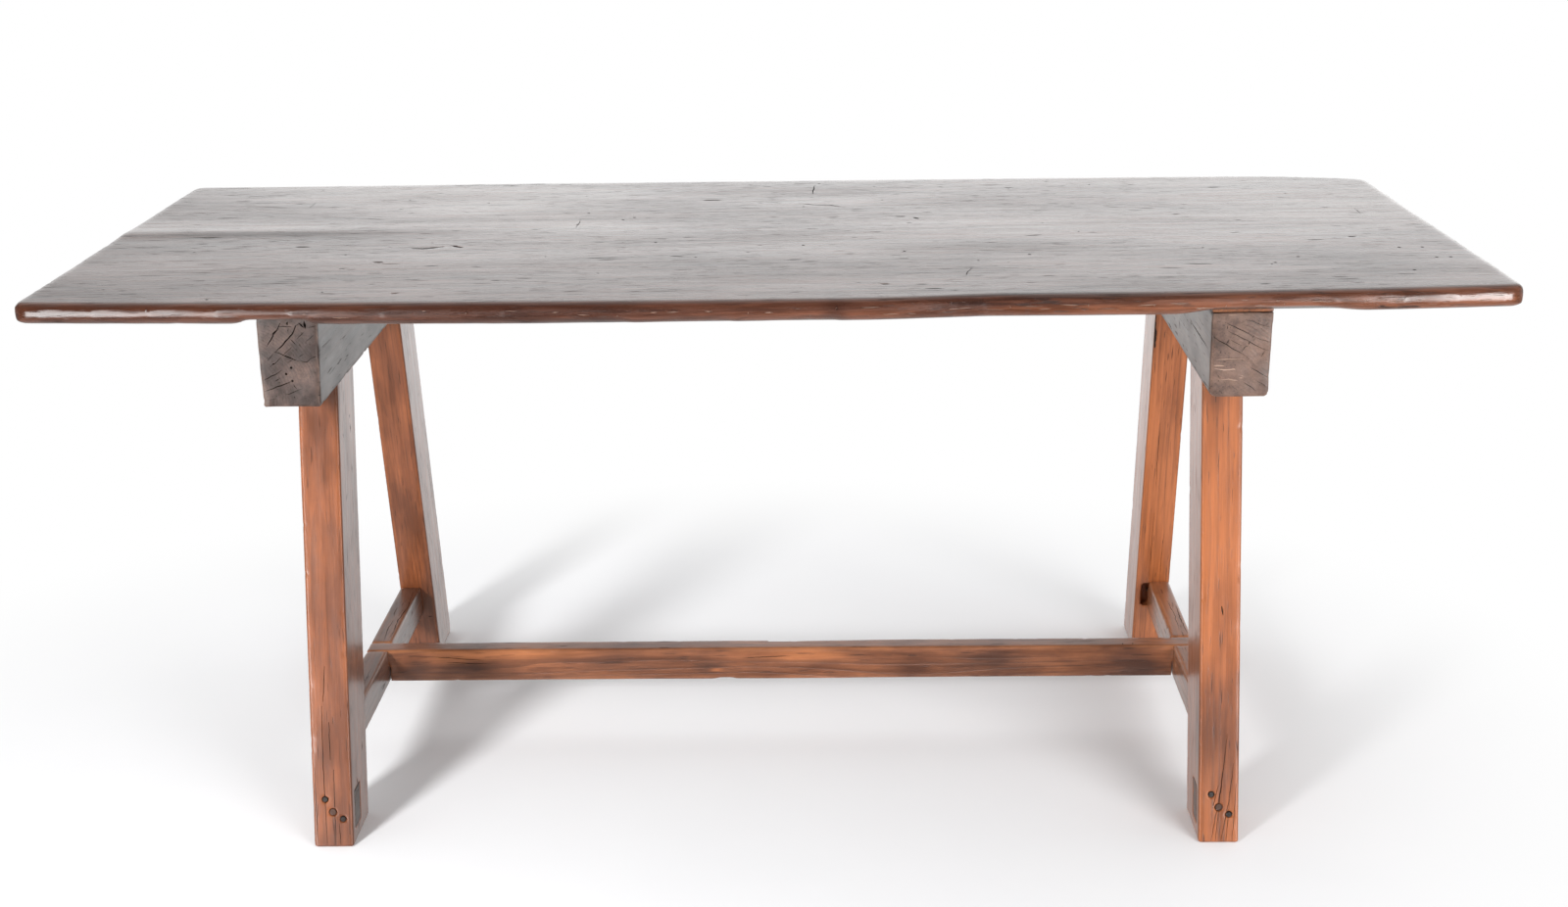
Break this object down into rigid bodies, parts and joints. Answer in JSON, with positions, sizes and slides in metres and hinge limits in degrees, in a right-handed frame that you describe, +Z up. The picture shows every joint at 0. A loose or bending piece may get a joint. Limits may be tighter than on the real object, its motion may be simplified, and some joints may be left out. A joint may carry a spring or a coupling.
{
  "type": "trestle dining table",
  "caption": "Rustic wooden trestle dining table: a wide two-board top on splayed A-frame trestles with heavy beams and a low long stretcher.",
  "frame": {"origin": "on the floor, under the middle of the top", "axes": "+X along the table from left to right as seen from the front, +Y from front to back, +Z up"},
  "size_m": [1.8574, 0.8245, 0.76],
  "materials": {
    "top_board": "dark brown varnished old boards, worn smooth, satin to gloss",
    "beam": "dark grey-brown reclaimed beam, checked end grain, matt",
    "leg": "orange-brown waxed softwood, satin",
    "stretcher": "red-brown waxed softwood with dark patches, satin",
    "packing": "thin orange-brown strip, satin",
    "peg": "dark hardwood pegs, end grain",
    "dowel": "pale hardwood dowels",
    "stub": "almost black old peg ends",
    "filler": "grey-brown filler, matt",
    "patch": "grey weathered patch, matt"
  },
  "bodies": {
    "root": {"top_front_board": "top_board", "top_back_board": "top_board", "board_dowels": "dowel", "left_beam": "beam", "right_beam": "beam", "right_packing_strip": "packing", "left_beam_dowels": "dowel", "right_beam_dowels": "dowel", "front_left_leg": "leg", "back_left_leg": "leg", "front_right_leg": "leg", "back_right_leg": "leg", "left_leg_pegs": "peg", "right_leg_pegs": "peg", "left_cross_stretcher": "stretcher", "right_cross_stretcher": "stretcher", "left_stretcher_pegs": "peg", "right_stretcher_pegs": "peg", "long_stretcher": "stretcher", "lap_pegs": "peg", "foot_peg_stubs": "stub", "foot_fillers": "filler", "left_mortise_patch": "patch", "right_mortise_patch": "patch"}
  },
  "joints": []
}
